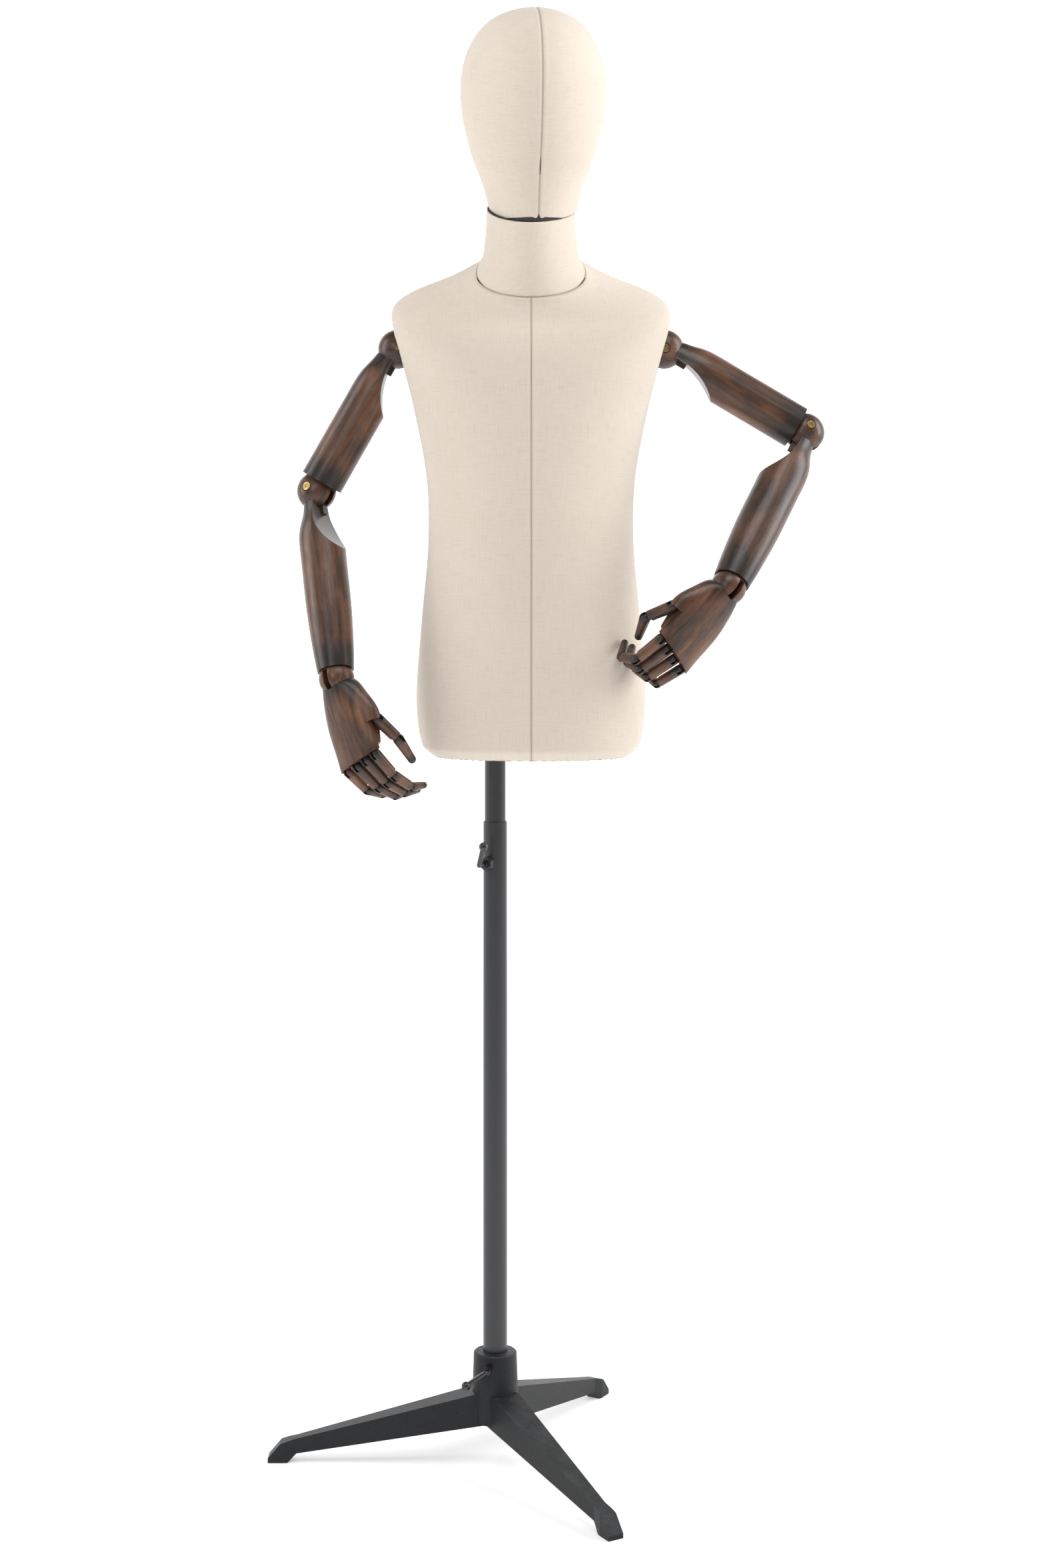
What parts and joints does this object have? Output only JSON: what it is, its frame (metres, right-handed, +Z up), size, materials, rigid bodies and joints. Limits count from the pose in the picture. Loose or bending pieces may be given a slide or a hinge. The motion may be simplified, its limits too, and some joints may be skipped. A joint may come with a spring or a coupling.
{
  "type": "display mannequin",
  "caption": "Linen-covered child-size torso with egg-shaped head and jointed wooden arms and hands on a telescoping pole and tripod.",
  "frame": {"origin": "on the floor under the axis of the pole", "axes": "+Z up along the pole, -Y to the figure's front, +X to the figure's left"},
  "size_m": [0.5846, 0.4208, 1.5234],
  "materials": {
    "linen": "plain woven linen over thin padding",
    "hard_shell": "moulded shell, unpainted",
    "dark_wood": "dark walnut stain, semi-gloss",
    "plain_wood": "bare",
    "brass": "bright",
    "steel": "zinc plated",
    "tube_coat": "satin charcoal powder coat",
    "cast_iron": "black paint on a sand casting",
    "clamp_paint": "gloss black"
  },
  "bodies": {
    "base": {"tripod_base": "cast_iron"},
    "mast": {"lower_tube": "tube_coat"},
    "torso": {"upper_tube": "tube_coat", "pole_socket": "steel", "base_board": "plain_wood", "wood_blocks": "plain_wood", "head_post": "steel", "torso_shell": "hard_shell", "torso_cover_left": "linen", "torso_cover_right": "linen", "neck_cover": "linen"},
    "head": {"head_shell": "hard_shell", "head_cover_left": "linen", "head_cover_right": "linen"},
    "base_clamp": {"base_clamp_screw": "clamp_paint"},
    "height_clamp": {"height_clamp_screw": "clamp_paint"},
    "right_shoulder": {"right_shoulder_ball": "dark_wood", "right_shoulder_screw": "brass"},
    "right_upper_arm": {"right_upper_arm": "dark_wood"},
    "right_elbow": {"right_elbow_ball": "dark_wood", "right_elbow_screw": "brass"},
    "right_forearm": {"right_forearm": "dark_wood"},
    "right_wrist": {"right_wrist_ball": "dark_wood"},
    "right_hand": {"right_palm": "dark_wood"},
    "left_shoulder": {"left_shoulder_ball": "dark_wood", "left_shoulder_screw": "brass"},
    "left_upper_arm": {"left_upper_arm": "dark_wood"},
    "left_elbow": {"left_elbow_ball": "dark_wood", "left_elbow_screw": "brass"},
    "left_forearm": {"left_forearm": "dark_wood"},
    "left_wrist": {"left_wrist_ball": "dark_wood"},
    "left_hand": {"left_palm": "dark_wood"},
    "right_index_proximal": {"right_index_proximal": "dark_wood"},
    "right_index_middle": {"right_index_middle": "dark_wood"},
    "right_index_distal": {"right_index_distal": "dark_wood"},
    "right_middle_proximal": {"right_middle_proximal": "dark_wood"},
    "right_middle_middle": {"right_middle_middle": "dark_wood"},
    "right_middle_distal": {"right_middle_distal": "dark_wood"},
    "right_ring_proximal": {"right_ring_proximal": "dark_wood"},
    "right_ring_middle": {"right_ring_middle": "dark_wood"},
    "right_ring_distal": {"right_ring_distal": "dark_wood"},
    "right_little_proximal": {"right_little_proximal": "dark_wood"},
    "right_little_middle": {"right_little_middle": "dark_wood"},
    "right_little_distal": {"right_little_distal": "dark_wood"},
    "right_thumb_proximal": {"right_thumb_proximal": "dark_wood"},
    "right_thumb_distal": {"right_thumb_distal": "dark_wood"},
    "left_index_proximal": {"left_index_proximal": "dark_wood"},
    "left_index_middle": {"left_index_middle": "dark_wood"},
    "left_index_distal": {"left_index_distal": "dark_wood"},
    "left_middle_proximal": {"left_middle_proximal": "dark_wood"},
    "left_middle_middle": {"left_middle_middle": "dark_wood"},
    "left_middle_distal": {"left_middle_distal": "dark_wood"},
    "left_ring_proximal": {"left_ring_proximal": "dark_wood"},
    "left_ring_middle": {"left_ring_middle": "dark_wood"},
    "left_ring_distal": {"left_ring_distal": "dark_wood"},
    "left_little_proximal": {"left_little_proximal": "dark_wood"},
    "left_little_middle": {"left_little_middle": "dark_wood"},
    "left_little_distal": {"left_little_distal": "dark_wood"},
    "left_thumb_proximal": {"left_thumb_proximal": "dark_wood"},
    "left_thumb_distal": {"left_thumb_distal": "dark_wood"}
  },
  "joints": [
    {"name": "height_slide", "type": "slide", "parent": "mast", "child": "torso", "axis": [0, 0, 1], "range_m": [-0.06, 0.28]},
    {"name": "mast_swivel", "type": "hinge", "parent": "base", "child": "mast", "pos_m": [0, 0, 0.115], "axis": [0, 0, 1], "continuous": true},
    {"name": "head_swivel", "type": "hinge", "parent": "torso", "child": "head", "pos_m": [0.04, 0, 1.3145], "axis": [0, -0.3665, 0.9304], "range_deg": [-80, 80]},
    {"name": "right_shoulder_swivel", "type": "hinge", "parent": "torso", "child": "right_shoulder", "pos_m": [-0.1029, 0.008, 1.167], "axis": [-0.9659, 0, -0.2588], "range_deg": [-120, 120]},
    {"name": "right_shoulder_hinge", "type": "hinge", "parent": "right_shoulder", "child": "right_upper_arm", "pos_m": [-0.1029, 0.008, 1.167], "axis": [0, -1, 0], "range_deg": [-45, 6.5]},
    {"name": "right_elbow_swivel", "type": "hinge", "parent": "right_upper_arm", "child": "right_elbow", "pos_m": [-0.18816, 0.008, 1.01762], "axis": [-0.4957, 0, -0.8685], "range_deg": [-14, 150]},
    {"name": "right_elbow_hinge", "type": "hinge", "parent": "right_elbow", "child": "right_forearm", "pos_m": [-0.18816, 0.008, 1.01762], "axis": [-0.4807, -0.8328, 0.2744], "range_deg": [-43, 8]},
    {"name": "right_wrist_swivel", "type": "hinge", "parent": "right_forearm", "child": "right_wrist", "pos_m": [-0.16126, -0.07101, 0.82492], "axis": [0.1281, -0.3763, -0.9176], "range_deg": [-150, 150]},
    {"name": "right_wrist_hinge", "type": "hinge", "parent": "right_wrist", "child": "right_hand", "pos_m": [-0.16126, -0.07101, 0.82492], "axis": [0.7788, -0.5348, 0.328], "range_deg": [-60, 15.5]},
    {"name": "left_shoulder_swivel", "type": "hinge", "parent": "torso", "child": "left_shoulder", "pos_m": [0.1781, 0.008, 1.167], "axis": [0.9659, 0, -0.2588], "range_deg": [-120, 0]},
    {"name": "left_shoulder_hinge", "type": "hinge", "parent": "left_shoulder", "child": "left_upper_arm", "pos_m": [0.1781, 0.008, 1.167], "axis": [0, 1, 0], "range_deg": [-15.5, 0]},
    {"name": "left_elbow_swivel", "type": "hinge", "parent": "left_upper_arm", "child": "left_elbow", "pos_m": [0.32604, 0.008, 1.07927], "axis": [0.8601, 0, -0.5101], "range_deg": [-150, 0]},
    {"name": "left_elbow_hinge", "type": "hinge", "parent": "left_elbow", "child": "left_forearm", "pos_m": [0.32604, 0.008, 1.07927], "axis": [-0.2478, 0.874, -0.4179], "range_deg": [-88, 0]},
    {"name": "left_wrist_swivel", "type": "hinge", "parent": "left_forearm", "child": "left_wrist", "pos_m": [0.23705, -0.094, 0.91871], "axis": [-0.4237, -0.4857, -0.7645], "range_deg": [-2, 150]},
    {"name": "left_wrist_hinge", "type": "hinge", "parent": "left_wrist", "child": "left_hand", "pos_m": [0.23705, -0.094, 0.91871], "axis": [0.647, 0.4283, -0.6308], "range_deg": [-60, 0]},
    {"name": "right_index_proximal_hinge", "type": "hinge", "parent": "right_hand", "child": "right_index_proximal", "pos_m": [-0.12046, -0.09429, 0.75045], "axis": [0.7788, -0.5348, 0.328], "range_deg": [-38, 20]},
    {"name": "right_index_middle_hinge", "type": "hinge", "parent": "right_index_proximal", "child": "right_index_middle", "pos_m": [-0.10153, -0.08124, 0.72679], "axis": [0.7788, -0.5348, 0.328], "range_deg": [-18, 67]},
    {"name": "right_index_distal_hinge", "type": "hinge", "parent": "right_index_middle", "child": "right_index_distal", "pos_m": [-0.08468, -0.06485, 0.7135], "axis": [0.7788, -0.5348, 0.328], "range_deg": [-32, 43]},
    {"name": "right_middle_proximal_hinge", "type": "hinge", "parent": "right_hand", "child": "right_middle_proximal", "pos_m": [-0.12991, -0.08765, 0.74347], "axis": [0.7788, -0.5348, 0.328], "range_deg": [-40, 40]},
    {"name": "right_middle_middle_hinge", "type": "hinge", "parent": "right_middle_proximal", "child": "right_middle_middle", "pos_m": [-0.10953, -0.0729, 0.71914], "axis": [0.7788, -0.5348, 0.328], "range_deg": [-20, 65]},
    {"name": "right_middle_distal_hinge", "type": "hinge", "parent": "right_middle_middle", "child": "right_middle_distal", "pos_m": [-0.09198, -0.05479, 0.70697], "axis": [0.7788, -0.5348, 0.328], "range_deg": [-30, 45]},
    {"name": "right_ring_proximal_hinge", "type": "hinge", "parent": "right_hand", "child": "right_ring_proximal", "pos_m": [-0.13936, -0.081, 0.7365], "axis": [0.7788, -0.5348, 0.328], "range_deg": [-42, 38]},
    {"name": "right_ring_middle_hinge", "type": "hinge", "parent": "right_ring_proximal", "child": "right_ring_middle", "pos_m": [-0.1193, -0.06581, 0.71363], "axis": [0.7788, -0.5348, 0.328], "range_deg": [-21, 64]},
    {"name": "right_ring_distal_hinge", "type": "hinge", "parent": "right_ring_middle", "child": "right_ring_distal", "pos_m": [-0.10237, -0.04761, 0.7031], "axis": [0.7788, -0.5348, 0.328], "range_deg": [-28, 47]},
    {"name": "right_little_proximal_hinge", "type": "hinge", "parent": "right_hand", "child": "right_little_proximal", "pos_m": [-0.14881, -0.07436, 0.72952], "axis": [0.7788, -0.5348, 0.328], "range_deg": [-44, 36]},
    {"name": "right_little_middle_hinge", "type": "hinge", "parent": "right_little_proximal", "child": "right_little_middle", "pos_m": [-0.1309, -0.06021, 0.71005], "axis": [0.7788, -0.5348, 0.328], "range_deg": [-28, 57]},
    {"name": "right_little_distal_hinge", "type": "hinge", "parent": "right_little_middle", "child": "right_little_distal", "pos_m": [-0.11608, -0.04232, 0.70403], "axis": [0.7788, -0.5348, 0.328], "range_deg": [-18, 57]},
    {"name": "right_thumb_proximal_hinge", "type": "hinge", "parent": "right_hand", "child": "right_thumb_proximal", "pos_m": [-0.11845, -0.09264, 0.78557], "axis": [0.4328, 0.6737, 0.599], "range_deg": [-15, 2]},
    {"name": "right_thumb_distal_hinge", "type": "hinge", "parent": "right_thumb_proximal", "child": "right_thumb_distal", "pos_m": [-0.0969, -0.08725, 0.76394], "axis": [0.4328, 0.6737, 0.599], "range_deg": [-18, 10]},
    {"name": "left_index_proximal_hinge", "type": "hinge", "parent": "left_hand", "child": "left_index_proximal", "pos_m": [0.16808, -0.11209, 0.86706], "axis": [0.647, 0.4283, -0.6308], "range_deg": [-20, 22]},
    {"name": "left_index_middle_hinge", "type": "hinge", "parent": "left_index_proximal", "child": "left_index_middle", "pos_m": [0.14337, -0.10544, 0.84623], "axis": [0.647, 0.4283, -0.6308], "range_deg": [-3.5, 27]},
    {"name": "left_index_distal_hinge", "type": "hinge", "parent": "left_index_middle", "child": "left_index_distal", "pos_m": [0.12937, -0.08239, 0.84752], "axis": [0.647, 0.4283, -0.6308], "range_deg": [-3.5, 18]},
    {"name": "left_middle_proximal_hinge", "type": "hinge", "parent": "left_hand", "child": "left_middle_proximal", "pos_m": [0.17479, -0.10675, 0.85664], "axis": [0.647, 0.4283, -0.6308], "range_deg": [-0.5, 54]},
    {"name": "left_middle_middle_hinge", "type": "hinge", "parent": "left_middle_proximal", "child": "left_middle_middle", "pos_m": [0.1482, -0.09652, 0.83631], "axis": [0.647, 0.4283, -0.6308], "range_deg": [0, 23]},
    {"name": "left_middle_distal_hinge", "type": "hinge", "parent": "left_middle_middle", "child": "left_middle_distal", "pos_m": [0.13662, -0.07154, 0.8414], "axis": [0.647, 0.4283, -0.6308], "range_deg": [-0.5, 25]},
    {"name": "left_ring_proximal_hinge", "type": "hinge", "parent": "left_hand", "child": "left_ring_proximal", "pos_m": [0.18149, -0.10141, 0.84622], "axis": [0.647, 0.4283, -0.6308], "range_deg": [-30, 50]},
    {"name": "left_ring_middle_hinge", "type": "hinge", "parent": "left_ring_proximal", "child": "left_ring_middle", "pos_m": [0.15557, -0.08947, 0.82774], "axis": [0.647, 0.4283, -0.6308], "range_deg": [-8, 23]},
    {"name": "left_ring_distal_hinge", "type": "hinge", "parent": "left_ring_middle", "child": "left_ring_distal", "pos_m": [0.14564, -0.06517, 0.83405], "axis": [0.647, 0.4283, -0.6308], "range_deg": [-15.5, 25]},
    {"name": "left_little_proximal_hinge", "type": "hinge", "parent": "left_hand", "child": "left_little_proximal", "pos_m": [0.1882, -0.09607, 0.83579], "axis": [0.647, 0.4283, -0.6308], "range_deg": [-34, 46]},
    {"name": "left_little_middle_hinge", "type": "hinge", "parent": "left_little_proximal", "child": "left_little_middle", "pos_m": [0.16536, -0.08382, 0.82069], "axis": [0.647, 0.4283, -0.6308], "range_deg": [-32, 25]},
    {"name": "left_little_distal_hinge", "type": "hinge", "parent": "left_little_middle", "child": "left_little_distal", "pos_m": [0.15709, -0.06216, 0.82692], "axis": [0.647, 0.4283, -0.6308], "range_deg": [-48, 27]},
    {"name": "left_thumb_proximal_hinge", "type": "hinge", "parent": "left_hand", "child": "left_thumb_proximal", "pos_m": [0.18009, -0.11006, 0.90011], "axis": [0.0834, -0.7263, -0.6823], "range_deg": [-15, 2]},
    {"name": "left_thumb_distal_hinge", "type": "hinge", "parent": "left_thumb_proximal", "child": "left_thumb_distal", "pos_m": [0.15263, -0.10201, 0.88819], "axis": [0.0834, -0.7263, -0.6823], "range_deg": [-50, 15]},
    {"name": "base_clamp_turn", "type": "hinge", "parent": "base", "child": "base_clamp", "pos_m": [0, 0, 0.104], "axis": [-0.2588, -0.9659, 0], "range_deg": [-170, 170]},
    {"name": "height_clamp_turn", "type": "hinge", "parent": "mast", "child": "height_clamp", "pos_m": [0, 0, 0.628], "axis": [-0.5446, -0.8387, 0], "range_deg": [-170, 170]}
  ]
}
